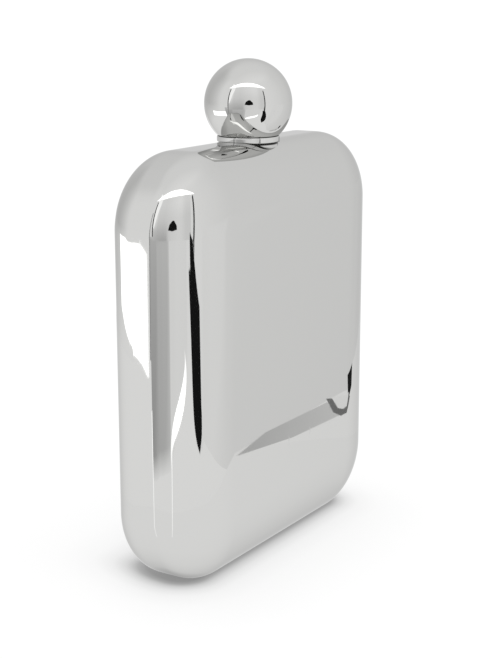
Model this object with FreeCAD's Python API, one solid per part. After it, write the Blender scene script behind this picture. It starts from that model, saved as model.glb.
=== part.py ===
"""Hip flask with a ball-shaped screw cap, as separate pieces.

The body is two drawn half shells that meet on the plane Y = 0, the rear one with a joggled lip that
centres the front one.  A turned neck with an outside thread stands through the top and is held by a
ring inside.  The cap is a hollow ball of two half shells on a turned ring, with a closed bush inside
that carries the thread, and a loose seal in the bush that lands on the neck's lip.

Frame: origin at the centre of the base, +X along the width, +Y towards the back, +Z up.  Millimetres.
"""

import FreeCAD, Part

import math
import os

from FreeCAD import Placement, Rotation, Vector

# ---------------------------------------------------------------- driving dimensions
BODY_WIDTH = 90.0
BODY_HEIGHT = 102.0           # standing on its base
BASE_PRESS = 0.55             # depth of the flat pressed into the base, that the flask stands on
BODY_DEPTH = 27.0
CORNER_RADIUS = 17.8          # of the outline, seen from the front
EDGE_ACROSS = 17.4            # how far the rounded edge reaches in over the front face
FLAT_BAND = 4.5               # width of the flat band left along the middle of the narrow sides
EDGE_POWER = 2.2              # 2 is an ellipse; more is squarer, with a softer start
WALL = 1.0

LIP_WALL = 0.5                # the joggled lip inside the seam
LIP_REACH = 2.2               # how far the lip stands into the front shell
LIP_ROOT = 1.4                # how far it laps onto the rear shell

NECK_BORE_R = 3.7
NECK_ROOT_R = 4.75            # the barrel, and the bottom of its thread
NECK_CREST_R = 5.45
NECK_SPIGOT_R = 5.8           # where the neck passes through the wall
LAND_R = 7.95                 # the shallow flat pressed into the top, that the neck stands on
LAND_DEPTH = 0.55
NECK_SEAT_R = 7.3             # the neck's shoulder
NECK_SEAT_DROP = 0.40         # its top, below the body's top
NECK_SEAT_DEPTH = 2.4         # it is trimmed to the curved top from this far down
NECK_LIP_Z = 8.4              # above the body's top
NECK_TAIL = 4.2               # below the body's top
BACKING_R = 7.9               # the ring that holds the neck from inside
BACKING_LOW = 3.8             # its underside, below the body's top

THREAD_PITCH = 2.0
THREAD_START = 2.2            # above the body's top, of the male thread
THREAD_TURNS = 2.25
THREAD_CREST = 0.45           # flat on the crest
THREAD_FLANK = 1.25           # width of the thread at its root
THREAD_GAP = 0.12             # running clearance, on the radius and along the axis
THREAD_SINK = 0.25            # how far a thread is sunk into the wall that carries it

RING_DROP = 0.25              # the cap's underside sits this far below the body's top, over the land
RING_R = 7.65
RING_HEIGHT = 1.45
RING_ROUND = 0.3
BALL_R = 10.7
BALL_WALL = 0.8
BALL_ABOVE_RING = 7.7         # the ball's centre above the ring's top
BALL_LIP_REACH = 1.2
BALL_LIP_WALL = 0.4
BUSH_R = 6.75                 # outside of the threaded bush
BUSH_ROOF = 0.8
SEAL_R = 5.9
SEAL_GROOVE_R = 6.05
SEAL_THICK = 1.5
SEAL_PLAY = 0.05              # between the seal and the bush's roof

TOP = BODY_HEIGHT
RING_Z = TOP - RING_DROP
RING_TOP = RING_Z + RING_HEIGHT
BALL_Z = RING_TOP + BALL_ABOVE_RING
LIP_Z = TOP + NECK_LIP_Z
ROOF_Z = LIP_Z + SEAL_THICK + SEAL_PLAY
LAND_Z = TOP - LAND_DEPTH
Z_AXIS = Vector(0, 0, 1)


# ---------------------------------------------------------------- helpers
def turned(points):
    """A solid of revolution about Z from a closed outline of (radius, z) points."""
    ring = [Vector(r, 0, z) for r, z in points]
    face = Part.Face(Part.makePolygon(ring + ring[:1]))
    return face.revolve(Vector(0, 0, 0), Z_AXIS, 360)


def tube(outer, inner, low, high):
    """A plain ring about Z."""
    return turned([(inner, low), (outer, low), (outer, high), (inner, high)])


def disc(radius, low, high):
    return Part.makeCylinder(radius, high - low, Vector(0, 0, low))


def rounded(solid, radius, chosen):
    """The solid with a fillet on each circular edge whose (radius, z) is in chosen."""
    edges = []
    for edge in solid.Edges:
        if not isinstance(edge.Curve, Part.Circle):
            continue
        for r, z in chosen:
            if abs(edge.Curve.Radius - r) < 1e-4 and abs(edge.Curve.Center.z - z) < 1e-4:
                edges.append(edge)
    return solid.makeFillet(radius, edges)


def edge_curve(across, deep, inset, start_y):
    """One rounded edge in the plane z = 0: from the narrow side at (inset, start_y) to the broad face.

    It is a quarter of a superellipse, so it leaves both flats with no jump in curvature.  x is the
    distance in from the outline, and y grows towards the broad face.
    """
    steps = 14
    points = []
    for i in range(steps + 1):
        turn = math.pi / 2 * i / steps
        x = inset + across * (1 - math.cos(turn) ** (2 / EDGE_POWER))
        y = start_y + deep * math.sin(turn) ** (2 / EDGE_POWER)
        points.append(Vector(x, y, 0))
    curve = Part.BSplineCurve()
    curve.interpolate(Points=points, InitialTangent=Vector(0, 1, 0), FinalTangent=Vector(1, 0, 0))
    return curve.toShape()


def half_pillow(offset, side, reach=None):
    """Half of the body's form, shrunk by offset, on the +Y side (side = 1) or the -Y side (side = -1).

    It is built as a core, four straight bars and four quarter turns that share one rim section.
    With reach it is only the straight-sided start of the form, that deep.
    """
    width = BODY_WIDTH - 2 * offset
    height = BODY_HEIGHT + BASE_PRESS - 2 * offset
    corner = CORNER_RADIUS - offset
    across = EDGE_ACROSS - offset
    half_flat = FLAT_BAND / 2
    deep = BODY_DEPTH / 2 - half_flat - offset

    if reach is None:
        far = half_flat + deep
        edge = edge_curve(across, deep, 0.0, half_flat)
        edges = [
            Part.makeLine(Vector(0, 0, 0), Vector(0, half_flat, 0)),
            edge,
            Part.makeLine(Vector(across, far, 0), Vector(across, 0, 0)),
            Part.makeLine(Vector(across, 0, 0), Vector(0, 0, 0)),
        ]
        section = Part.Face(Part.Wire(edges))
    else:
        far = reach
        corners = [Vector(0, 0, 0), Vector(0, far, 0), Vector(across, far, 0), Vector(across, 0, 0)]
        section = Part.Face(Part.makePolygon(corners + corners[:1]))

    # The section's x runs in from the outline.  Turned to face a corner's centre, it sweeps the rim.
    long_x = width - 2 * corner
    long_z = height - 2 * corner
    centre_z = (BODY_HEIGHT - BASE_PRESS) / 2
    solids = []
    for quarter in range(4):
        run = long_z if quarter % 2 == 0 else long_x
        half_span = width / 2 if quarter % 2 == 0 else height / 2
        other = height / 2 if quarter % 2 == 0 else width / 2
        place = section.copy()
        place.translate(Vector(-half_span, 0, -run / 2))
        bar = place.extrude(Vector(0, 0, run))
        start = section.copy()
        start.translate(Vector(-half_span, 0, run / 2))
        turn_at = Vector(-half_span + corner, 0, run / 2)
        bend = start.revolve(turn_at, Vector(0, 1, 0), 90)
        for piece in (bar, bend):
            piece.rotate(Vector(0, 0, 0), Vector(0, 1, 0), 90 * quarter)
            piece.translate(Vector(0, 0, centre_z))
            solids.append(piece)
        assert other > corner

    inner_w = width - 2 * across
    inner_h = height - 2 * across
    inner_r = corner - across
    core = Part.makeBox(inner_w, far, inner_h, Vector(-inner_w / 2, 0, centre_z - inner_h / 2))
    upright = [e for e in core.Edges if abs(e.tangentAt(e.FirstParameter).y) > 0.99]
    core = core.makeFillet(inner_r, upright)

    whole = core.fuse(solids).removeSplitter()
    if side < 0:
        whole = whole.mirror(Vector(0, 0, 0), Vector(0, 1, 0))
    return whole


def thread(root_r, crest_r, start_z, turns):
    """A right-hand thread of one tapered section, swept along a helix about Z.

    crest_r may be less than root_r, which makes an inside thread.
    """
    outward = 1 if crest_r > root_r else -1
    base_r = root_r - outward * THREAD_SINK
    slope = (THREAD_FLANK - THREAD_CREST) / 2 / abs(crest_r - root_r)
    base_half = THREAD_CREST / 2 + slope * abs(crest_r - base_r)
    crest_half = THREAD_CREST / 2
    helix = Part.makeLongHelix(THREAD_PITCH, THREAD_PITCH * turns, base_r, 0, False)
    corners = [
        Vector(base_r, 0, -base_half),
        Vector(crest_r, 0, -crest_half),
        Vector(crest_r, 0, crest_half),
        Vector(base_r, 0, base_half),
    ]
    profile = Part.makePolygon(corners + corners[:1])
    swept = Part.Wire(helix.Edges).makePipeShell([profile], True, True)
    swept.translate(Vector(0, 0, start_z))
    return swept


# ---------------------------------------------------------------- body
def pressed(form, floor_z):
    """The form with its underside flattened at floor_z."""
    below = Part.makeBox(2 * BODY_WIDTH, 2 * BODY_DEPTH, 20, Vector(-BODY_WIDTH, -BODY_DEPTH, floor_z - 20))
    return form.cut(below)


def outside(side):
    """Half of the outer form, with the flat base and the flat land under the neck."""
    return pressed(half_pillow(0.0, side), 0).cut(disc(LAND_R, LAND_Z, TOP + 1))


def inside(side):
    """Half of the cavity: one wall in from the outer form everywhere."""
    return pressed(half_pillow(WALL, side), WALL).cut(disc(LAND_R + WALL, LAND_Z - WALL, TOP + 1))


def body_shells():
    """The front and rear shells, open at the neck."""
    neck_hole = disc(NECK_SPIGOT_R, TOP - 6, TOP + 1)
    front, rear = (outside(side).cut(inside(side)).cut(neck_hole) for side in (-1, 1))
    bounds = []
    for offset in (WALL, WALL + LIP_WALL):
        band = half_pillow(offset, -1, LIP_REACH).fuse(half_pillow(offset, 1, LIP_ROOT))
        bounds.append(pressed(band, offset))
    lip_outer, lip_inner = bounds
    room_for_neck = disc(LAND_R + WALL + 1.0, TOP - 8, TOP + 2)
    lip = lip_outer.cut(lip_inner).cut(room_for_neck)
    rear = rear.fuse(lip).removeSplitter()
    return front, rear


def neck(outer_form):
    """The turned neck: tail, spigot, shoulder, threaded barrel and a rounded pouring lip."""
    tail_z = TOP - NECK_TAIL
    seat_z = TOP - NECK_SEAT_DROP
    barrel = turned([
        (NECK_BORE_R, tail_z),
        (NECK_SPIGOT_R, tail_z),
        (NECK_SPIGOT_R, seat_z),
        (NECK_ROOT_R, seat_z),
        (NECK_ROOT_R, LIP_Z),
        (NECK_BORE_R, LIP_Z),
    ])
    barrel = rounded(barrel, 0.35, [(NECK_ROOT_R, LIP_Z), (NECK_BORE_R, LIP_Z)])
    shoulder = tube(NECK_SEAT_R, NECK_SPIGOT_R - 0.3, TOP - NECK_SEAT_DEPTH, seat_z).cut(outer_form)
    ridge = thread(NECK_ROOT_R, NECK_CREST_R, TOP + THREAD_START, THREAD_TURNS)
    return barrel.fuse([shoulder, ridge]).removeSplitter()


def backing_ring(inner_form):
    """The ring inside the body, shaped to the curved underside of the top, that holds the neck."""
    ring = tube(BACKING_R, NECK_SPIGOT_R, TOP - BACKING_LOW, TOP)
    return ring.common(inner_form)


# ---------------------------------------------------------------- cap
def cap_ring():
    """The visible ring under the ball, bored for the bush and dished for the ball."""
    ring = tube(RING_R, BUSH_R, RING_Z, RING_TOP)
    return rounded(ring, RING_ROUND, [(RING_R, RING_Z), (RING_R, RING_TOP)])


def ball_halves():
    """The lower and upper half shells.  The lower one has a lip that centres the upper one."""
    centre = Vector(0, 0, BALL_Z)
    hollow = Part.makeSphere(BALL_R, centre).cut(Part.makeSphere(BALL_R - BALL_WALL, centre))
    reach = BALL_R + 1
    upper_room = disc(reach, BALL_Z, BALL_Z + reach)
    lower_room = tube(reach, BUSH_R, RING_TOP, BALL_Z)
    upper = hollow.common(upper_room)
    lower = hollow.common(lower_room)
    lip_r = BALL_R - BALL_WALL
    lip = Part.makeSphere(lip_r, centre).cut(Part.makeSphere(lip_r - BALL_LIP_WALL, centre))
    lip = lip.common(disc(reach, BALL_Z - BALL_LIP_REACH, BALL_Z + BALL_LIP_REACH))
    return lower.fuse(lip).removeSplitter(), upper


def thread_bush():
    """The bush inside the cap: an inside thread below, a groove for the seal under a closed roof."""
    root_r = NECK_CREST_R + THREAD_GAP
    cup = turned([
        (root_r, RING_Z),
        (BUSH_R, RING_Z),
        (BUSH_R, ROOF_Z + BUSH_ROOF),
        (0, ROOF_Z + BUSH_ROOF),
        (0, ROOF_Z),
        (SEAL_GROOVE_R, ROOF_Z),
        (SEAL_GROOVE_R, LIP_Z - SEAL_PLAY),
        (root_r, LIP_Z - SEAL_PLAY),
    ])
    start = TOP + THREAD_START - THREAD_PITCH / 2
    crest_r = NECK_ROOT_R + THREAD_GAP
    ridge = thread(root_r, crest_r, start, THREAD_TURNS)
    return cup.fuse(ridge).removeSplitter()


def seal():
    """The loose soft disc that the neck's lip presses on."""
    body = disc(SEAL_R, LIP_Z, LIP_Z + SEAL_THICK)
    return rounded(body, 0.2, [(SEAL_R, LIP_Z), (SEAL_R, LIP_Z + SEAL_THICK)])


# ---------------------------------------------------------------- build
def build():
    outer_form = outside(-1).fuse(outside(1))
    inner_form = inside(-1).fuse(inside(1))
    front, rear = body_shells()
    lower, upper = ball_halves()
    return {
        "front_shell": front,
        "rear_shell": rear,
        "threaded_neck": neck(outer_form),
        "neck_backing_ring": backing_ring(inner_form),
        "cap_ring": cap_ring(),
        "ball_lower_half": lower,
        "ball_upper_half": upper,
        "thread_bush": thread_bush(),
        "seal_disc": seal(),
    }


def main():
    os.makedirs("parts", exist_ok=True)
    for name, shape in build().items():
        box = shape.BoundBox
        print(
            f"{name}: solids {len(shape.Solids)} faces {len(shape.Faces)} valid {shape.isValid()}"
            f" volume {shape.Volume:.1f} z {box.ZMin:.2f}..{box.ZMax:.2f}"
        )
        shape.exportStep(f"parts/{name}.step")


main()
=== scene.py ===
"""Looks of the ball-capped hip flask: polished shells and cap, turned neck and bush, soft seal.

Every metal piece but the backing ring inside is rebuilt as a fine mesh from the same dimensions as the
CAD, because mirror polish shows each facet.  Lengths are in millimetres and angles in degrees unless a
line says otherwise; MM turns them into metres where a mesh is made.
"""

import math

import bmesh
import bpy
import numpy as np
from mathutils import Matrix, Vector


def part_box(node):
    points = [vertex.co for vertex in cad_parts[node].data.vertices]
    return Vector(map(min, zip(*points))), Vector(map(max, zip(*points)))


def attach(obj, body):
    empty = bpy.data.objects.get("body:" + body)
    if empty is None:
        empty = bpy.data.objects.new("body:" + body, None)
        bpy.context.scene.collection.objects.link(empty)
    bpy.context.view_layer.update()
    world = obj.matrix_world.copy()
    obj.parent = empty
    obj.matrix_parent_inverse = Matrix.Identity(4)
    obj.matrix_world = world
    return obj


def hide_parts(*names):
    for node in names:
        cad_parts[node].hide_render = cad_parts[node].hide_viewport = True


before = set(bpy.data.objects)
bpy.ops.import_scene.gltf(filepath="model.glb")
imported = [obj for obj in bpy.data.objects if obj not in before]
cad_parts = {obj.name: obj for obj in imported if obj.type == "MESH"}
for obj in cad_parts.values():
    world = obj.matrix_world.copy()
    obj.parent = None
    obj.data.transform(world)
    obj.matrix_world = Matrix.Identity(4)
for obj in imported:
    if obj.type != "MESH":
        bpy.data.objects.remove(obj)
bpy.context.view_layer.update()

MM = 0.001

# ---------------------------------------------------------------- sizes, taken from the CAD
LOW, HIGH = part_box("front_shell")
REAR_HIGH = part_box("rear_shell")[1]
WIDTH = (HIGH.x - LOW.x) / MM
HEIGHT = (HIGH.z - LOW.z) / MM
DEPTH = (REAR_HIGH.y - LOW.y) / MM
CORNER = 17.8  # radius of the outline's corners
ACROSS = 17.4  # how far the rounding reaches in from the outline
HALF_FLAT = 2.25  # half the narrow side's flat
DEEP = DEPTH / 2 - HALF_FLAT  # how far the rounding reaches towards the broad face
POWER = 2.2  # of the rounding's superellipse
WALL = 1.0
BASE_PRESS = 0.55  # how far the base is pressed flat into the form
TOP = HEIGHT
FORM_HEIGHT = HEIGHT + BASE_PRESS
FORM_MID = (HEIGHT - BASE_PRESS) / 2

# a name that ends in R is a radius from the neck's axis, one that ends in Z a height
LAND_R, LAND_Z = 7.95, TOP - 0.55
BORE_R, ROOT_R, CREST_R, SPIGOT_R, SEAT_R = 3.7, 4.75, 5.45, 5.8, 7.3
SEAT_Z, LIP_Z, TAIL_Z = TOP - 0.40, TOP + 8.4, TOP - 4.2
SHOULDER, SHOULDER_EDGE = 2.0, 0.08
PITCH, THREAD_LOW, THREAD_TURNS = 2.0, TOP + 2.2, 2.25
THREAD_TIP, THREAD_FOOT, THREAD_GAP = 0.45, 1.25, 0.12
THREAD_FADE = 0.35  # of a turn
RING_Z, RING_HEIGHT, RING_R = TOP - 0.25, 1.45, 7.65
RING_TOP = RING_Z + RING_HEIGHT
BALL_R, BALL_WALL, BALL_Z = 10.7, 0.8, RING_TOP + 7.7
BALL_STEP, BALL_STEP_ANGLE = 0.4, 6
BUSH_R, GROOVE_R, ROOF = 6.75, 6.05, 0.8
SEAL_R, SEAL_THICK = 5.9, 1.5
ROOF_Z = LIP_Z + SEAL_THICK + 0.05

# how finely the shells are divided, and how close a point counts as being on a surface
CORNER_STEPS, EDGE_SPACING, RIM_ROWS, FACE_ROWS = 30, 2.6, 44, 10
NEAR = 1e-3


# ---------------------------------------------------------------- mesh helpers
def clamp(value):
    """The value, held between 0 and 1."""
    return min(1.0, max(0.0, value))


def eased(share):
    """The share with a soft start and a soft end."""
    return share * share * (3 - 2 * share)


def new_object(name, verts, faces, smooth=True):
    """A mesh object in the scene, from points in metres."""
    mesh = bpy.data.meshes.new(name)
    mesh.from_pydata([tuple(v) for v in verts], [], [tuple(f) for f in faces])
    mesh.validate()
    mesh.update()
    obj = bpy.data.objects.new(name, mesh)
    bpy.context.scene.collection.objects.link(obj)
    if smooth:
        mesh.shade_smooth()
    return obj


def sharpen(obj, degrees):
    """Marks every edge that turns more than this as sharp, so that only real corners look sharp."""
    bm = bmesh.new()
    bm.from_mesh(obj.data)
    limit = math.radians(degrees)
    for edge in bm.edges:
        edge.smooth = edge.is_manifold and edge.calc_face_angle(0.0) < limit
    bm.to_mesh(obj.data)
    bm.free()


def weld(obj, gap):
    """Joins points closer than this many metres and turns the faces outwards."""
    bm = bmesh.new()
    bm.from_mesh(obj.data)
    bmesh.ops.remove_doubles(bm, verts=bm.verts, dist=gap)
    bmesh.ops.recalc_face_normals(bm, faces=bm.faces)
    bm.to_mesh(obj.data)
    bm.free()


def apply_modifiers(obj):
    """Replaces the object's mesh by what its modifiers make of it."""
    depsgraph = bpy.context.evaluated_depsgraph_get()
    mesh = bpy.data.meshes.new_from_object(obj.evaluated_get(depsgraph))
    obj.modifiers.clear()
    old = obj.data
    obj.data = mesh
    bpy.data.meshes.remove(old)


def lathe(name, profile, segments):
    """A solid of revolution about Z from a closed (radius, z) profile."""
    verts, faces = [], []
    rows = len(profile)
    for r, z in profile:
        for j in range(segments):
            a = 2 * math.pi * j / segments
            verts.append((r * math.cos(a), r * math.sin(a), z))
    for i in range(rows):
        n = (i + 1) % rows
        for j in range(segments):
            k = (j + 1) % segments
            faces.append((i * segments + j, i * segments + k, n * segments + k, n * segments + j))
    obj = new_object(name, np.array(verts) * MM, faces)
    weld(obj, 1e-7)
    return obj


def arc(cx, cz, radius, start, end, steps):
    """Points of an arc in the profile plane."""
    out = []
    for i in range(steps + 1):
        a = math.radians(start + (end - start) * i / steps)
        out.append((cx + radius * math.cos(a), cz + radius * math.sin(a)))
    return out


def run(start, end, parts):
    """Points from start towards end, without the end."""
    dx, dz = end[0] - start[0], end[1] - start[1]
    return [(start[0] + dx * i / parts, start[1] + dz * i / parts) for i in range(parts)]


# ---------------------------------------------------------------- shells
def outline(offset):
    """Points and outward normals round the body's outline, shrunk by offset, anticlockwise in (x, z)."""
    half_x, half_z, corner = WIDTH / 2 - offset, FORM_HEIGHT / 2 - offset, CORNER - offset
    flat_x, flat_z = half_x - corner, half_z - corner
    points, normals = [], []
    centres = [(flat_x, flat_z), (-flat_x, flat_z), (-flat_x, -flat_z), (flat_x, -flat_z)]
    for quarter, (cx, cz) in enumerate(centres):
        start = quarter * math.pi / 2
        for i in range(CORNER_STEPS + 1):
            a = start + math.pi / 2 * i / CORNER_STEPS
            points.append((cx + corner * math.cos(a), cz + corner * math.sin(a)))
            normals.append((math.cos(a), math.sin(a)))
        nx, nz = normals[-1]
        next_x, next_z = centres[(quarter + 1) % 4]
        parts = max(1, round(math.hypot(next_x - cx, next_z - cz) / EDGE_SPACING))
        for i in range(1, parts):
            f = i / parts
            x = cx + (next_x - cx) * f + corner * nx
            z = cz + (next_z - cz) * f + corner * nz
            points.append((x, z))
            normals.append((nx, nz))
    return np.array(points), np.array(normals)


def rim_section(offset):
    """(inset, depth) pairs from the middle of the narrow side to the start of the flat face."""
    across, deep = ACROSS - offset, DEEP - offset
    pairs = [(0.0, HALF_FLAT * share) for share in (0.0, 0.34, 0.67, 0.9)]
    for i in range(RIM_ROWS + 1):
        t = math.pi / 2 * i / RIM_ROWS
        inset = across * (1 - max(0.0, math.cos(t)) ** (2 / POWER))
        depth = HALF_FLAT + deep * math.sin(t) ** (2 / POWER)
        pairs.append((inset, depth))
    return pairs


def half_skin(offset, side):
    """Points and quads of half the pillow, open at the seam.  Row 0 is the seam."""
    points, normals = outline(offset)
    count = len(points)
    verts = []
    for inset, depth in rim_section(offset):
        for x, z in points - normals * inset:
            verts.append((x, side * depth, z + FORM_MID))
    last = np.array(verts[-count:])
    face_y = last[0, 1]
    # the flat face closes onto a short upright line through its middle
    spine = max(0.0, (FORM_HEIGHT - WIDTH) / 2)
    for k in range(1, FACE_ROWS + 1):
        f = 1 - k / FACE_ROWS
        for x, _, z in last:
            from_mid = z - FORM_MID
            end_z = max(-spine, min(spine, from_mid))
            verts.append((x * f, face_y, FORM_MID + end_z + (from_mid - end_z) * f))
    faces = []
    for r in range(len(verts) // count - 1):
        for c in range(count):
            d = (c + 1) % count
            quad = (r * count + c, r * count + d, (r + 1) * count + d, (r + 1) * count + c)
            faces.append(quad if side < 0 else quad[::-1])
    return verts, faces, count


def depth_share(depth):
    """How far into the rounding a place is, 0 at the narrow side's flat and 1 at the broad face."""
    return clamp((depth - HALF_FLAT) / DEEP)


def inset_at(depth):
    """How far the outline has drawn in at this depth from the middle plane."""
    return ACROSS * (1 - (1 - depth_share(depth) ** POWER) ** (1 / POWER))


def surface_normal(p):
    """Outward unit normal of the outer form at a point on it, or None off the form."""
    x, y, z = p
    side = 1.0 if y > 0 else -1.0
    s = depth_share(abs(y))
    qx, qz = abs(x) - (WIDTH / 2 - CORNER), abs(z - FORM_MID) - (FORM_HEIGHT / 2 - CORNER)
    gap = math.hypot(max(qx, 0), max(qz, 0)) + min(max(qx, qz), 0) - (CORNER - inset_at(abs(y)))
    if s > 0.99995 and gap < 0.3:
        return Vector((0, side, 0))
    if abs(gap) > 0.02:
        return None
    if qx > 0 and qz > 0:
        out = Vector((math.copysign(qx, x), 0, math.copysign(qz, z - FORM_MID)))
    elif qx > qz:
        out = Vector((math.copysign(1, x), 0, 0))
    else:
        out = Vector((0, 0, math.copysign(1, z - FORM_MID)))
    out.normalize()
    slope = ACROSS / DEEP * (1 - s**POWER) ** (1 / POWER - 1) * s ** (POWER - 1) if s > 0 else 0.0
    return (out + Vector((0, side * slope, 0))).normalized()


def true_normals(obj):
    """Gives the outer skin the form's exact normals, so that reflections run without ripples."""
    mesh = obj.data
    mesh.shade_smooth()
    exact = [surface_normal(v.co / MM) for v in mesh.vertices]
    loops = []
    for poly in mesh.polygons:
        flat = poly.normal
        for li in poly.loop_indices:
            n = exact[mesh.loops[li].vertex_index]
            loops.append(n if n is not None and n.dot(flat) > 0.97 else flat)
    mesh.normals_split_custom_set([tuple(n) for n in loops])


def cut(obj, radius, low, high):
    """Takes a cylinder about Z away from the object."""
    cutter = lathe("cutter", [(0, low), (radius, low), (radius, high), (0, high)], 192)
    modifier = obj.modifiers.new("cut", "BOOLEAN")
    modifier.operation = "DIFFERENCE"
    modifier.solver = "EXACT"
    modifier.object = cutter
    apply_modifiers(obj)
    bpy.data.objects.remove(cutter)


def shell(name, side):
    """One half shell: outer skin, inner skin, seam rim, the land and hole for the neck, the flat base."""
    outer, outer_faces, count = half_skin(0.0, side)
    inner, inner_faces, _ = half_skin(WALL, side)
    inner = [(x, y, max(z, WALL)) for x, y, z in inner]
    base = len(outer)
    faces = outer_faces + [tuple(base + i for i in f[::-1]) for f in inner_faces]
    for c in range(count):
        d = (c + 1) % count
        quad = (c, base + c, base + d, d)
        faces.append(quad if side < 0 else quad[::-1])
    obj = new_object(name, np.array(outer + inner) * MM, faces)
    weld(obj, 2e-6)
    above = TOP + 3
    cut(obj, LAND_R, LAND_Z, above)
    cut(obj, SPIGOT_R, TOP - 8, above)
    cut(obj, WIDTH, -5, 0)
    true_normals(obj)
    return obj


# ---------------------------------------------------------------- neck, bush and seal
def ridge_height(z, angle, low):
    """Share of the full thread height at a place on the barrel; the angle is in radians."""
    turn = angle / (2 * math.pi)
    base = z - low - PITCH * turn
    nearest = round(base / PITCH)
    along = nearest + turn
    off = abs(base - nearest * PITCH)
    shape = clamp((THREAD_FOOT / 2 - off) / (THREAD_FOOT / 2 - THREAD_TIP / 2))
    fade = clamp(along / THREAD_FADE) * clamp((THREAD_TURNS - along) / THREAD_FADE)
    return shape * eased(fade)


def form_thread(mesh, wall_r, ridge_r, low, high, start):
    """Moves the points of a plain barrel between low and high, out or in, to form the thread."""
    for v in mesh.vertices:
        x, y, z = v.co / MM
        if abs(math.hypot(x, y) - wall_r) < NEAR and low - NEAR <= z <= high + NEAR:
            a = math.atan2(y, x)
            r = wall_r + (ridge_r - wall_r) * ridge_height(z, a % (2 * math.pi), start)
            v.co = Vector((r * math.cos(a), r * math.sin(a), z)) * MM
    mesh.update()


def fit_shoulder(mesh):
    """Lets the foot of the neck's shoulder follow the body's curved top."""
    top = SEAT_Z - SHOULDER_EDGE
    for v in mesh.vertices:
        x, y, z = v.co / MM
        if z < SEAT_Z - 0.3 and abs(math.hypot(x, y) - SEAT_R) < NEAR:
            foot = min(LAND_Z, TOP - inset_at(abs(y)))
            share = (top - z) / (SHOULDER - SHOULDER_EDGE)
            v.co.z = (top - (top - foot) * share) * MM
    mesh.update()


def threaded_neck():
    """The turned neck: spigot, shoulder, barrel with the outside thread, rounded lip."""
    margin, tail_round, fillet, lip_round = 0.9, 0.2, 0.15, 0.35
    low, high = THREAD_LOW - margin, THREAD_LOW + PITCH * THREAD_TURNS + margin
    foot, edge = SEAT_Z - SHOULDER, SHOULDER_EDGE
    profile = []
    profile += run((BORE_R, TAIL_Z), (SPIGOT_R - tail_round, TAIL_Z), 3)
    profile += arc(SPIGOT_R - tail_round, TAIL_Z + tail_round, tail_round, -90, 0, 4)
    profile += [(SPIGOT_R, foot - 0.3), (SPIGOT_R, foot)]
    profile += run((SEAT_R, foot), (SEAT_R, SEAT_Z - edge), 6)
    profile += arc(SEAT_R - edge, SEAT_Z - edge, edge, 0, 90, 4)
    profile += run((SEAT_R - 0.2, SEAT_Z), (ROOT_R + 2 * fillet, SEAT_Z), 6)
    profile += arc(ROOT_R + fillet, SEAT_Z + fillet, fillet, -90, -180, 4)
    profile += run((ROOT_R, SEAT_Z + 2 * fillet), (ROOT_R, low), 4)
    profile += run((ROOT_R, low), (ROOT_R, high), 150)
    profile += run((ROOT_R, high), (ROOT_R, LIP_Z - lip_round), 3)
    profile += arc(ROOT_R - lip_round, LIP_Z - lip_round, lip_round, 0, 90, 8)
    profile += arc(BORE_R + lip_round, LIP_Z - lip_round, lip_round, 90, 180, 8)
    profile += run((BORE_R, LIP_Z - 0.5), (BORE_R, TAIL_Z), 8)
    obj = lathe("neck_turned", profile, 240)
    form_thread(obj.data, ROOT_R, CREST_R, low, high, THREAD_LOW)
    fit_shoulder(obj.data)
    sharpen(obj, 38)
    return obj


def bush():
    """The closed bush: inside thread, seal groove, roof."""
    margin, foot_round, head_round = 0.8, 0.1, 0.3
    root, crest = CREST_R + THREAD_GAP, ROOT_R + THREAD_GAP
    start = THREAD_LOW - PITCH / 2
    low, high = start - margin, start + PITCH * THREAD_TURNS + margin
    bevel, groove, top = 0.15, LIP_Z - 0.05, ROOF_Z + ROOF
    profile = []
    profile += run((root + bevel, RING_Z), (BUSH_R - foot_round, RING_Z), 3)
    profile += arc(BUSH_R - foot_round, RING_Z + foot_round, foot_round, -90, 0, 3)
    profile += run((BUSH_R, RING_Z + 0.3), (BUSH_R, top - head_round), 8)
    profile += arc(BUSH_R - head_round, top - head_round, head_round, 0, 90, 5)
    profile += run((BUSH_R - 2 * head_round, top), (0.0, top), 5)
    profile += [(0.0, top), (0.0, ROOF_Z)]
    profile += run((0.4, ROOF_Z), (GROOVE_R, ROOF_Z), 5)
    profile += run((GROOVE_R, ROOF_Z), (GROOVE_R, groove), 4)
    profile += run((GROOVE_R, groove), (root, groove), 2)
    profile += run((root, groove), (root, high), 3)
    profile += run((root, high), (root, low), 140)
    profile += run((root, low), (root, RING_Z + bevel), 3)
    profile += [(root, RING_Z + bevel)]
    obj = lathe("bush_threaded", profile, 200)
    form_thread(obj.data, root, crest, low, high, start)
    sharpen(obj, 38)
    return obj


def seal():
    """The loose disc with rounded edges that lands on the neck's lip."""
    edge, top = 0.2, LIP_Z + SEAL_THICK
    profile = [(0.0, LIP_Z)]
    profile += run((1.0, LIP_Z), (SEAL_R - edge, LIP_Z), 6)
    profile += arc(SEAL_R - edge, LIP_Z + edge, edge, -90, 0, 5)
    profile += arc(SEAL_R - edge, top - edge, edge, 0, 90, 5)
    profile += run((SEAL_R - 0.5, top), (0.0, top), 6)
    profile += [(0.0, top)]
    obj = lathe("seal_soft", profile, 96)
    sharpen(obj, 60)
    return obj


# ---------------------------------------------------------------- cap
def ring():
    """The bright turned ring under the ball, rounded at its two outer edges."""
    edge = 0.3
    profile = run((BUSH_R, RING_Z), (RING_R - edge, RING_Z), 3)
    profile += arc(RING_R - edge, RING_Z + edge, edge, -90, 0, 10)
    profile += run((RING_R, RING_Z + edge + 0.1), (RING_R, RING_TOP - edge), 4)
    profile += arc(RING_R - edge, RING_TOP - edge, edge, 0, 90, 10)
    profile += [(BUSH_R, RING_TOP)]
    obj = lathe("ring_polished", profile, 256)
    sharpen(obj, 40)
    return obj


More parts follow.
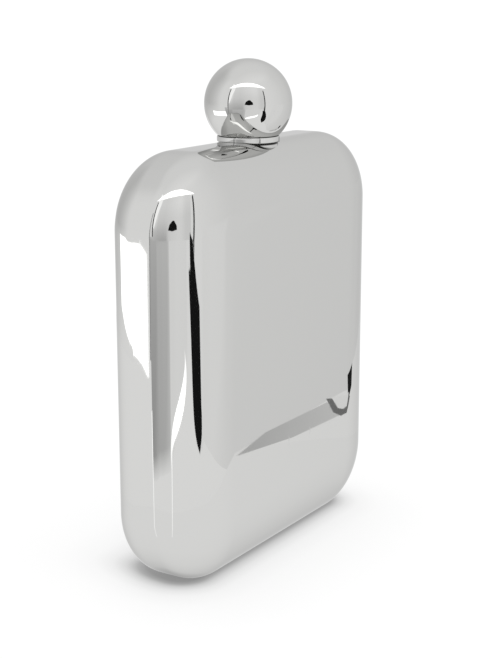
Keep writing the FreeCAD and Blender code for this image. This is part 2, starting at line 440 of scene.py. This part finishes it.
def ball(name, upper):
    """Half of the hollow ball.  Both halves end exactly on the equator with level normals."""
    inner_r = BALL_R - BALL_WALL
    if upper:
        profile = arc(0, BALL_Z, BALL_R, 0, 90, 48) + arc(0, BALL_Z, inner_r, 90, 0, 32)
    else:
        low = math.degrees(math.asin((RING_TOP - BALL_Z) / BALL_R))
        meet = -math.degrees(math.acos(BUSH_R / inner_r))
        profile = arc(0, BALL_Z, BALL_R, low, 0, 48)
        profile += [(inner_r, BALL_Z)]
        profile += arc(0, BALL_Z, inner_r, 0, BALL_STEP_ANGLE, 3)[1:]
        profile += arc(0, BALL_Z, inner_r - BALL_STEP, BALL_STEP_ANGLE, -BALL_STEP_ANGLE, 5)
        profile += arc(0, BALL_Z, inner_r, -BALL_STEP_ANGLE, meet, 24)
        profile += [(BUSH_R, RING_TOP)]
    obj = lathe(name, profile, 288)
    sharpen(obj, 40)
    round_normals(obj.data)
    return obj


def round_normals(mesh):
    """Gives the ball's outer skin exact radial normals and leaves the rest as they are."""
    centre = Vector((0, 0, BALL_Z)) * MM
    keep = [tuple(n.vector) for n in mesh.corner_normals]
    loops = []
    for poly in mesh.polygons:
        for li in poly.loop_indices:
            from_centre = mesh.vertices[mesh.loops[li].vertex_index].co - centre
            radial = from_centre.normalized()
            on_skin = abs(from_centre.length / MM - BALL_R) < NEAR and radial.dot(poly.normal) > 0.9
            loops.append(tuple(radial) if on_skin else keep[li])
    mesh.normals_split_custom_set(loops)


# ---------------------------------------------------------------- materials
def material(name):
    """A new node material with its nodes, links and main shader."""
    mat = bpy.data.materials.new(name)
    mat.use_nodes = True
    nodes, links = mat.node_tree.nodes, mat.node_tree.links
    return mat, nodes, links, nodes["Principled BSDF"]


def noise(nodes, scale, detail=4.0, rough=0.5):
    """A noise texture node."""
    texture = nodes.new("ShaderNodeTexNoise")
    texture.inputs["Scale"].default_value = scale
    texture.inputs["Detail"].default_value = detail
    texture.inputs["Roughness"].default_value = rough
    return texture


def ramp(nodes, low, high, out_low, out_high):
    """A node that takes low..high to out_low..out_high and holds the ends."""
    node = nodes.new("ShaderNodeMapRange")
    node.inputs["From Min"].default_value = low
    node.inputs["From Max"].default_value = high
    node.inputs["To Min"].default_value = out_low
    node.inputs["To Max"].default_value = out_high
    return node


def calculate(nodes, links, operation, *values):
    """The output socket of a math node fed with sockets or plain numbers."""
    node = nodes.new("ShaderNodeMath")
    node.operation = operation
    for socket, value in zip(node.inputs, values):
        if isinstance(value, bpy.types.NodeSocket):
            links.new(value, socket)
        else:
            socket.default_value = value
    return node.outputs["Value"]


def painted_joint_shade(nodes, links, where, base, bsdf, low, high, soft):
    """Painted shade in a joint: a dark band between two heights in millimetres, standing in for the shadow
    in the gap.
    """
    split = nodes.new("ShaderNodeSeparateXYZ")
    links.new(where.outputs["Object"], split.inputs["Vector"])
    rise = ramp(nodes, (low - soft) * MM, low * MM, 0.0, 1.0)
    fall = ramp(nodes, high * MM, (high + soft) * MM, 1.0, 0.0)
    links.new(split.outputs["Z"], rise.inputs["Value"])
    links.new(split.outputs["Z"], fall.inputs["Value"])
    both = calculate(nodes, links, "MULTIPLY", rise.outputs["Result"], fall.outputs["Result"])
    tone = nodes.new("ShaderNodeMix")
    tone.data_type = "RGBA"
    tone.inputs["A"].default_value = (*base, 1)
    # the dark colour of the painted shade in the gap
    tone.inputs["B"].default_value = (0.035, 0.034, 0.033, 1)
    links.new(both, tone.inputs["Factor"])
    links.new(tone.outputs["Result"], bsdf.inputs["Base Color"])


def polished(name, base, waviness, joint=None):
    """Mirror polish: hairline wipe marks in the gloss, a trace of buffing haze, and faint waves.

    The waviness is a height in metres; joint holds the two heights and the softness of a band of painted
    shade in a joint.
    """
    mat, nodes, links, bsdf = material(name)
    bsdf.inputs["Metallic"].default_value = 1.0
    bsdf.inputs["Base Color"].default_value = (*base, 1)
    bsdf.inputs["Specular Tint"].default_value = (0.72, 0.72, 0.72, 1)
    where = nodes.new("ShaderNodeTexCoord")
    if joint:
        painted_joint_shade(nodes, links, where, base, bsdf, *joint)
    haze = noise(nodes, 38.0, 3.0)
    links.new(where.outputs["Object"], haze.inputs["Vector"])
    stretch = nodes.new("ShaderNodeMapping")
    stretch.inputs["Rotation"].default_value = (0.2, 0.5, 0.35)
    stretch.inputs["Scale"].default_value = (900.0, 900.0, 26.0)
    links.new(where.outputs["Object"], stretch.inputs["Vector"])
    hair = noise(nodes, 1.0, 2.0)
    links.new(stretch.outputs["Vector"], hair.inputs["Vector"])
    marks = ramp(nodes, 0.66, 0.80, 0.0, 1.0)
    links.new(hair.outputs["Fac"], marks.inputs["Value"])
    level = ramp(nodes, 0.35, 0.70, 0.018, 0.040)
    links.new(haze.outputs["Fac"], level.inputs["Value"])
    gloss = calculate(nodes, links, "MULTIPLY_ADD", marks.outputs["Result"], 0.10, level.outputs["Result"])
    links.new(gloss, bsdf.inputs["Roughness"])
    wave = noise(nodes, 26.0, 1.0, 0.3)
    links.new(where.outputs["Object"], wave.inputs["Vector"])
    bump = nodes.new("ShaderNodeBump")
    bump.inputs["Strength"].default_value = 1.0
    bump.inputs["Distance"].default_value = waviness
    links.new(wave.outputs["Fac"], bump.inputs["Height"])
    links.new(bump.outputs["Normal"], bsdf.inputs["Normal"])
    return mat


def turned(name, base, joint=None):
    """Turned metal with fine tool lines: satin above the shoulder's seat, polished below it."""
    mat, nodes, links, bsdf = material(name)
    bsdf.inputs["Metallic"].default_value = 1.0
    bsdf.inputs["Base Color"].default_value = (*base, 1)
    where = nodes.new("ShaderNodeTexCoord")
    # with joint, a thin band of painted shade darkens the metal between the two heights
    if joint:
        painted_joint_shade(nodes, links, where, base, bsdf, *joint)
    split = nodes.new("ShaderNodeSeparateXYZ")
    links.new(where.outputs["Object"], split.inputs["Vector"])
    lines = nodes.new("ShaderNodeTexNoise")
    lines.noise_dimensions = "1D"
    lines.inputs["Scale"].default_value = 9000.0
    lines.inputs["Detail"].default_value = 3.0
    links.new(split.outputs["Z"], lines.inputs["W"])
    cloud = noise(nodes, 220.0, 4.0)
    links.new(where.outputs["Object"], cloud.inputs["Vector"])
    level = ramp(nodes, 0.3, 0.7, 0.20, 0.34)
    links.new(cloud.outputs["Fac"], level.inputs["Value"])
    satin = ramp(nodes, (SEAT_Z - 0.02) * MM, (SEAT_Z + 0.02) * MM, 0.12, 1.0)
    links.new(split.outputs["Z"], satin.inputs["Value"])
    gloss = calculate(nodes, links, "MULTIPLY", level.outputs["Result"], satin.outputs["Result"])
    links.new(gloss, bsdf.inputs["Roughness"])
    bump = nodes.new("ShaderNodeBump")
    bump.inputs["Strength"].default_value = 0.5
    bump.inputs["Distance"].default_value = 4e-6
    links.new(lines.outputs["Fac"], bump.inputs["Height"])
    links.new(bump.outputs["Normal"], bsdf.inputs["Normal"])
    return mat


def rubber(name, base):
    """Matt rubber with a fine grain in its colour and surface."""
    mat, nodes, links, bsdf = material(name)
    bsdf.inputs["Roughness"].default_value = 0.62
    where = nodes.new("ShaderNodeTexCoord")
    grain = noise(nodes, 2600.0, 3.0)
    links.new(where.outputs["Object"], grain.inputs["Vector"])
    tone = nodes.new("ShaderNodeMix")
    tone.data_type = "RGBA"
    tone.inputs["A"].default_value = (*[c * 0.88 for c in base], 1)
    tone.inputs["B"].default_value = (*base, 1)
    links.new(grain.outputs["Fac"], tone.inputs["Factor"])
    links.new(tone.outputs["Result"], bsdf.inputs["Base Color"])
    bump = nodes.new("ShaderNodeBump")
    bump.inputs["Strength"].default_value = 0.4
    bump.inputs["Distance"].default_value = 2e-5
    links.new(grain.outputs["Fac"], bump.inputs["Height"])
    links.new(bump.outputs["Normal"], bsdf.inputs["Normal"])
    return mat


SILVER = (0.635, 0.635, 0.625)
body_metal = polished("polished_body", SILVER, 2.0e-6)
# the cap's metal paints a thin band of shade where the ball meets the ring, and the steel one round the
# shoulder's seat under the ring
cap_metal = polished("polished_cap", SILVER, 0.6e-6, (RING_TOP - 0.04, RING_TOP + 0.10, 0.05))
steel = turned("turned_steel", (0.56, 0.56, 0.55), (SEAT_Z - 0.30, SEAT_Z + 0.30, 0.06))
soft = rubber("seal_rubber", (0.74, 0.73, 0.69))


def dress(obj, mat, body, slot, *nodes):
    """Gives a piece its material and its body, and hides the CAD nodes it stands for.  The slot is not
    used.
    """
    obj.data.materials.clear()
    obj.data.materials.append(mat)
    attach(obj, body)
    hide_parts(*nodes)


dress(shell("shell_front", -1), body_metal, "flask", "polished_body", "front_shell")
dress(shell("shell_rear", 1), body_metal, "flask", "polished_body", "rear_shell")
dress(threaded_neck(), steel, "flask", "turned_steel", "threaded_neck")
dress(ring(), cap_metal, "cap", "polished_cap", "cap_ring")
dress(ball("ball_lower", False), cap_metal, "cap", "polished_cap", "ball_lower_half")
dress(ball("ball_upper", True), cap_metal, "cap", "polished_cap", "ball_upper_half")
dress(bush(), steel, "cap", "turned_steel", "thread_bush")
dress(seal(), soft, "seal", "seal", "seal_disc")
# the ring inside keeps its CAD mesh and takes the neck's steel
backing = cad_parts["neck_backing_ring"]
backing.data.materials.clear()
backing.data.materials.append(steel)


# ---------------------------------------------------------------- stage and light
# Only the polish sees the cards round the flask.  A reading of the photo showed which directions its
# main reflections come from, and the cards are plain shapes, rounded from that reading.
def glow_material(name):
    """Light given off by a card, as strong as the card's own glow attribute says."""
    mat = bpy.data.materials.new(name)
    mat.use_nodes = True
    nodes, links = mat.node_tree.nodes, mat.node_tree.links
    nodes.clear()
    out = nodes.new("ShaderNodeOutputMaterial")
    light = nodes.new("ShaderNodeEmission")
    level = nodes.new("ShaderNodeAttribute")
    level.attribute_name = "glow"
    links.new(level.outputs["Fac"], light.inputs["Strength"])
    links.new(light.outputs["Emission"], out.inputs["Surface"])
    return mat


GLOW = glow_material("studio_glow")
CARDS_CENTRE = (0.0, 0.0, 111.0)  # about the middle of the ball


def stage_mesh(name, verts, faces, glows):
    """A card that only reflections see.  A glow of 0 is black velvet, 1 is paper white."""
    obj = new_object(name, np.array(verts, float) * MM, faces, smooth=False)
    values = glows if isinstance(glows, list) else [glows] * len(verts)
    field = obj.data.attributes.new("glow", "FLOAT", "POINT")
    for item, value in zip(field.data, values):
        item.value = value
    obj.data.materials.append(GLOW)
    obj.visible_camera = False
    obj.visible_diffuse = False
    obj.visible_shadow = False


def floor_card(name, level, corners, glow):
    """A flat card just over the floor; where two overlap, the one at the higher level is seen."""
    verts = [(x, y, level) for x, y in corners]
    stage_mesh(name, verts, [tuple(range(len(verts)))], glow)


def fan(name, level, eye, reach, rows, start=None, soft=1.0, end=None):
    """A flat card from a line of short pieces outwards, away from eye; rows are its (x, y, glow).

    With start, the glow is start at the line and becomes each row's own at soft times its distance
    from eye.  With end, it is at least end at the far side.
    """
    verts, faces, glows = [], [], []
    for x, y, glow in rows:
        dx, dy = x - eye[0], y - eye[1]
        for times in (1.0, soft, reach / math.hypot(dx, dy)):
            verts.append((eye[0] + dx * times, eye[1] + dy * times, level))
        glows += [glow if start is None else start, glow, glow if end is None else max(glow, end)]
    for i in range(len(rows) - 1):
        for k in (0, 1):
            faces.append((3 * i + k, 3 * i + k + 1, 3 * i + k + 4, 3 * i + k + 3))
    stage_mesh(name, verts, faces, glows)


def direction(azimuth, elevation):
    """Unit direction; azimuth 0 looks out of the flask's front face and 90 along its width."""
    a, e = math.radians(azimuth), math.radians(elevation)
    return (math.sin(a) * math.cos(e), -math.cos(a) * math.cos(e), math.sin(e))


def aimed(azimuth, elevation, distance, centre=CARDS_CENTRE):
    """The point at this direction and distance from a centre."""
    return tuple(c + distance * d for c, d in zip(centre, direction(azimuth, elevation)))


def ladder(count):
    """The quads of a strip whose points come in this many pairs."""
    return [(2 * i, 2 * i + 2, 2 * i + 3, 2 * i + 1) for i in range(count - 1)]


def band(name, glow, distance, rows):
    """A curved strip round the cards' centre; rows are (azimuth, low elevation, high elevation)."""
    verts = []
    for az, low, high in rows:
        verts += [aimed(az, low, distance), aimed(az, high, distance)]
    stage_mesh(name, verts, ladder(len(rows)), glow)


def shaded_dome(name, distance, centre, azimuths, elevations, level):
    """Part of a dome whose glow follows level(azimuth, elevation)."""
    verts, faces, glows = [], [], []
    for el in elevations:
        for az in azimuths:
            verts.append(aimed(az, el, distance, centre))
            glows.append(level(az, el))
    n = len(azimuths)
    for r in range(len(elevations) - 1):
        for c in range(n - 1):
            faces.append((r * n + c, r * n + c + 1, (r + 1) * n + c + 1, (r + 1) * n + c))
    stage_mesh(name, verts, faces, glows)


def strip(name, level, controls, half, glow, steps=20):
    """A flat card along a smooth curve of four control points; half(t) is its half-width."""
    p = np.array(controls, float)
    verts, glows = [], []
    for t in np.linspace(0, 1, steps + 1):
        u = 1 - t
        at = u**3 * p[0] + 3 * u * u * t * p[1] + 3 * u * t * t * p[2] + t**3 * p[3]
        way = u * u * (p[1] - p[0]) + 2 * u * t * (p[2] - p[1]) + t * t * (p[3] - p[2])
        side = np.array([-way[1], way[0]]) / np.hypot(*way) * half(t)
        verts += [(*(at - side), level), (*(at + side), level)]
        glows += [glow(t) if callable(glow) else glow] * 2
    stage_mesh(name, verts, ladder(steps + 1), glows)


def rings(name, level, half, rows):
    """Flat loops round a line of this half length; rows are (distance, glow or glow of azimuth)."""
    verts, faces, glows = [], [], []
    around = range(-177, 180, 6)
    n = len(around)
    for k, (distance, glow) in enumerate(rows):
        for i, az in enumerate(around):
            a = math.radians(az)
            x = distance * math.sin(a) + math.copysign(half, a)
            verts.append((x, -distance * math.cos(a), level))
            glows.append(glow(az) if callable(glow) else glow)
            if k:
                here, beside = k * n + i, k * n + (i + 1) % n
                faces.append((here - n, beside - n, beside, here))
    stage_mesh(name, verts, faces, glows)


def along_stops(stops, at):
    """The value at a place, on straight lines between (place, value) stops."""
    places, values = zip(*stops)
    return float(np.interp(at, places, values))


def tent_level(az, el):
    """Tent cloth: lit from both sides, dim straight behind, more even overhead."""
    stops = [(-180, 0.69), (-165, 0.74), (-150, 0.85), (-135, 1.0), (0, 1.0), (30, 0.95), (50, 0.905)]
    stops += [(75, 0.90), (105, 0.95), (130, 0.93), (150, 0.84), (165, 0.73), (180, 0.69)]
    walls = along_stops(stops, az)
    roof = 0.94 + 0.12 * max(0.0, math.cos(math.radians(az + 30))) * max(0.0, 1 - abs(el - 60) / 30)
    return walls + (roof - walls) * eased(clamp((el - 42) / 22))


def window_level(az, el):
    """The opening round the camera: a bright curtain at its left, a dim wall, then a lit one."""
    stops = [(-111, 0.96), (-104, 0.92), (-95, 0.86), (-80, 0.84), (-60, 0.90), (-40, 0.96)]
    stops += [(-28, 0.94), (-22, 0.82), (-13, 0.86)]
    curtain = 0.45 * max(0.0, 1 - (az + 111) / 14) * clamp((el - 2) / 8)
    lift = 0.10 * clamp((el - 15) / 20)
    drop = 0.30 * clamp((14 - el) / 26) * clamp((-64 - az) / 8)
    return along_stops(stops, az) + curtain + lift - drop


def floor_material():
    """White table top with a painted shadow round the flask; it glows as well, so that shadows stay close
    to the flask.

    Its glow and colour drop near a line under the flask, which paints the shadow.  Behind the flask the
    distance from that line counts for less, so the painted shadow reaches further there.
    """
    half_line, counts_behind, full_reach = 30.0, 0.56, 100.0
    # painted shadow: (distance from the line in millimetres, share of colour and glow), darkest at the
    # base
    stops = [(0, 0.22), (5.5, 0.20), (7, 0.26), (8.75, 0.44), (11, 0.60)]
    stops += [(14, 0.71), (20, 0.78), (40, 0.86), (80, 0.95)]
    mat, nodes, links, bsdf = material("floor_white")
    bsdf.inputs["Roughness"].default_value = 0.9
    bsdf.inputs["Specular IOR Level"].default_value = 0.0
    place = nodes.new("ShaderNodeTexCoord")
    axes = nodes.new("ShaderNodeSeparateXYZ")
    links.new(place.outputs["Object"], axes.inputs["Vector"])
    along = calculate(nodes, links, "ABSOLUTE", axes.outputs["X"])
    past_end = calculate(nodes, links, "SUBTRACT", along, half_line * MM)
    past_end.node.use_clamp = True
    ahead = calculate(nodes, links, "MULTIPLY", axes.outputs["Y"], -1.0)
    behind = calculate(nodes, links, "MULTIPLY", axes.outputs["Y"], counts_behind)
    beside = calculate(nodes, links, "MAXIMUM", ahead, behind)
    spot = nodes.new("ShaderNodeCombineXYZ")
    links.new(past_end, spot.inputs["X"])
    links.new(beside, spot.inputs["Y"])
    away = nodes.new("ShaderNodeVectorMath")
    away.operation = "LENGTH"
    links.new(spot.outputs["Vector"], away.inputs[0])
    distance = calculate(nodes, links, "MULTIPLY", away.outputs["Value"], 1 / (full_reach * MM))
    shade = nodes.new("ShaderNodeValToRGB")
    while len(shade.color_ramp.elements) < len(stops):
        shade.color_ramp.elements.new(0.5)
    for element, (reach, value) in zip(shade.color_ramp.elements, stops):
        element.position = reach / full_reach
        element.color = (value, value, value, 1)
    links.new(distance, shade.inputs["Fac"])
    links.new(shade.outputs["Color"], bsdf.inputs["Base Color"])
    # the table's own glow, painted light that the same share mixes in; it keeps shadows short
    under = nodes.new("ShaderNodeEmission")
    under.inputs["Strength"].default_value = 1.03
    blend = nodes.new("ShaderNodeMixShader")
    links.new(shade.outputs["Color"], blend.inputs["Fac"])
    links.new(bsdf.outputs["BSDF"], blend.inputs[1])
    links.new(under.outputs["Emission"], blend.inputs[2])
    links.new(blend.outputs["Shader"], nodes["Material Output"].inputs["Surface"])
    return mat


def lay_floor(half):
    """The table top that the camera sees."""
    corners = [(-half, -half, 0), (half, -half, 0), (half, half, 0), (-half, half, 0)]
    floor = new_object("floor", np.array(corners) * MM, [(0, 1, 2, 3)])
    floor.data.materials.append(floor_material())


def light_tent():
    """The light tent, as the polished metal sees it."""
    turn = [float(v) for v in range(-180, 181, 6)]
    climb = [*range(-6, 61, 6), 68, 76, 84, 89.9]
    shaded_dome("tent", 2600, (0, 0, 0), turn, climb, tent_level)


def table_top():
    """The white table in reflections: it meets the tent's own level far off, and dims at the base in a
    painted shadow.
    """
    white = 1.015
    fade = [(250, 0.0), (400, 0.35), (700, 0.62), (1300, 0.82), (2560, 1.0)]
    far = [(r, lambda az, t=t: white + (tent_level(az, 0) - white) * t) for r, t in fade]
    rings("table_far", 0.2, 0.0, far)
    # a painted shadow round the base, as the polish sees the table: the glow drops towards the flask
    near = [(0.8, 0.35), (3, 0.60), (6, 0.78), (8, 0.93), (12, 0.98), (20, 1.01), (34, white), (70, white)]
    rings("table_near", 0.08, 31.0, near)


def window():
    """The opening round the camera, its bright arch and left leg, and dark lines at its left edge."""
    turn = [-111.0, -109, -107, -105, -99, -97, -95, -88, -80, -72]
    turn += [-68, -66.5, -65, -58, -50, -42, -34, -24, -14]
    shaded_dome("window", 540, CARDS_CENTRE, turn, [-14, -8, -2, 6, 15, 22, 29, 36, 38], window_level)
    arch = []
    for az in range(-118, -1, 6):
        off = (az + 60) / 56
        arch.append((az, 46 - 10 * off**2, 56 - 19 * abs(off) ** 2.4))
    shaded_dome("window_head", 545, CARDS_CENTRE, turn, [37, 42, 47], window_level)
    band("window_top", 2.4, 520, arch)
    leg = [(-109.5, 2, 38), (-107, 3, 40), (-104, 10, 41), (-101, 22, 41), (-98, 33, 42)]
    band("window_leg", 1.35, 500, leg)
    band("window_line_left", 0.06, 490, [(-112.0, -8, 34), (-109.4, -8, 36)])
    band("window_line_left_low", 0.12, 128, [(-109.6, -34, -5), (-108.9, -34, -5)])
    band("window_line_left_soft", 0.50, 128.5, [(-108.9, -34, 8), (-107.2, -34, 8)])


def table_front():
    """What lies past the white table top's front edge, and a clip that holds the cloth there."""
    edge = [(-25, -115, 1.0), (-15, -125, 0.97), (5, -105, 0.98), (30, -70, 0.92), (50, -65, 0.905)]
    edge += [(130, -70, 0.90), (175, -65, 0.92), (300, 40, 0.97)]
    fan("table_beyond_front", 0.3, (-38, -12), 2400, edge)
    shade = [(50, -63), (75, -68), (115, -68), (105, -57), (75, -58)]
    floor_card("table_edge_shade", 0.5, shade, [0.56, 0.62, 0.74, 0.76, 0.68])
    floor_card("table_clip", 0.7, [(118, -70), (105, -60), (103, -56), (130, -57)], 0.22)
    floor_card("table_clip_face", 0.8, [(120, -69), (110, -61), (110, -59), (132, -63)], 1.0)
    floor_card("table_foot_dark", 0.6, [(150, -78), (175, -65), (145, -56), (123, -61)], 0.02)


def table_left():
    """What lies past the table top's left edge, with a bright glint along it and two fine bright hairs."""
    edge = [(-112, 40, 0.42), (-128, 10, 0.56), (-130, -15, 0.58), (-126, -42, 0.70)]
    edge += [(-128, -48, 0.95), (-138, -100, 0.97), (-110, -200, 0.96)]
    fan("table_beyond_left", 0.3, (-44, -4), 900, edge, start=0.99, soft=1.28, end=0.80)
    curve = [(-124, -44), (-195, -75), (-75, -185), (-147, -218)]
    strip(
        "table_edge_glint", 0.5, curve,
        lambda t: 14 * math.sin(math.pi * t), lambda t: 1.1 + 1.3 * math.sin(math.pi * t),
    )
    table_hair("table_hair_a", -61.5, 22, 118)
    table_hair("table_hair_b", -123.5, 22, 150)


def table_hair(name, azimuth, near, far, start=(-44, -5), half=0.6):
    """A hair's breadth of light that runs out from the flask's left end and widens three times."""
    along_x, along_y, _ = direction(azimuth, 0)
    corners = []
    for r, w in ((near, -half), (far, -3 * half), (far, 3 * half), (near, half)):
        corners.append((start[0] + along_x * r - along_y * w, start[1] + along_y * r + along_x * w))
    floor_card(name, 0.7, corners, [1.2, 1.7, 1.7, 1.2])


def velvet():
    """Black velvet that runs off to the front left, its hung end, and a dark line right of the window."""
    black = 0.01
    curve = [(-32, -113), (-42, -195), (-70, -280), (-120, -400)]
    strip("velvet_low", 0.6, curve, lambda t: 24 * (1 - (1 - t) ** 10), black)
    hung = [(-22, -130, 0), (-26, -141, 40), (-76, -280, 44), (-130, -430, 74), (-130, -430, 0)]
    stage_mesh("velvet_high", hung, [(0, 1, 2, 3, 4)], black)
    band("window_line_right", 0.04, 214, [(-16.2, -16, 30), (-14.6, -18, 33), (-13.6, -16, 31)])


def panels():
    """Upright white panels; the left one's lower edge sags at both ends."""
    stations = (0, 2, 4, 8, 16, 40, 80, 120, 160, 198)
    verts = []
    for along in stations:
        share = along / stations[-1]
        x, y = -172 + 84 * share, 92 + 180 * share
        low = 20 - 11 * share**2 - 11 * math.exp(-along / 3.5)
        high = 56 - 7 * share - 4 * math.exp(-along)
        verts += [(x, y, low), (x, y, high)]
    stage_mesh("panel_left", verts, ladder(len(stations)), 2.2)
    right = [(172, 60, 16), (120, 232, 6), (120, 232, 62), (172, 60, 62)]
    stage_mesh("panel_right", right, [(0, 1, 2, 3)], 1.25)


def camera_hood():
    """The dark camera and its hood, as the flask reflects them."""
    hood = [(-67, 0), (-64, 7), (-57, 11.5), (-53, 11.5), (-46, 5), (-45, 0), (-56, -1.5)]
    stage_mesh("camera_hood", [aimed(az, el, 372) for az, el in hood], [tuple(range(len(hood)))], 0.01)


def studio_world():
    """White surroundings, a touch over paper white."""
    world = bpy.data.worlds.new("studio")
    bpy.context.scene.world = world
    world.use_nodes = True
    background = world.node_tree.nodes["Background"]
    background.inputs["Color"].default_value = (1, 1, 1, 1)
    background.inputs["Strength"].default_value = 1.06


def key_light():
    """A soft light overhead that the metal doesn't show; its places are in metres."""
    place, target = Vector((0.15, 0.25, 0.9)), Vector((0, 0, 0.05))
    data = bpy.data.lights.new("key", "AREA")
    data.shape = "RECTANGLE"
    data.size = 0.6
    data.size_y = 0.6
    data.energy = 1.5
    key = bpy.data.objects.new("key", data)
    key.location = place
    key.rotation_euler = (place - target).to_track_quat("Z", "Y").to_euler()
    key.visible_camera = False
    key.visible_glossy = False
    bpy.context.scene.collection.objects.link(key)


lay_floor(9000)
light_tent()
table_top()
window()
table_front()
table_left()
velvet()
panels()
camera_hood()
studio_world()
key_light()


# ---------------------------------------------------------------- camera
def photo_camera():
    """The camera, fitted to the photo's outline; its distances are in metres."""
    azimuth, elevation, distance, roll = -57.56, 13.45, 0.35676, -0.098
    back = Vector(direction(azimuth, elevation))
    right = Vector((math.cos(math.radians(azimuth)), math.sin(math.radians(azimuth)), 0))
    aim = Vector((0, 0, 0.05456)) + right * -0.00087
    data = bpy.data.cameras.new("camera")
    data.lens = 77.58
    data.sensor_width = 36.0
    data.clip_start = 0.01
    data.clip_end = 60.0
    camera = bpy.data.objects.new("camera", data)
    camera.location = aim + back * distance
    look = (-back).to_track_quat("-Z", "Y").to_matrix()
    camera.rotation_euler = (look @ Matrix.Rotation(math.radians(roll), 3, "Z")).to_euler()
    bpy.context.scene.collection.objects.link(camera)
    bpy.context.scene.camera = camera


photo_camera()
bpy.context.scene.view_settings.view_transform = "Standard"
bpy.context.scene.view_settings.look = "None"
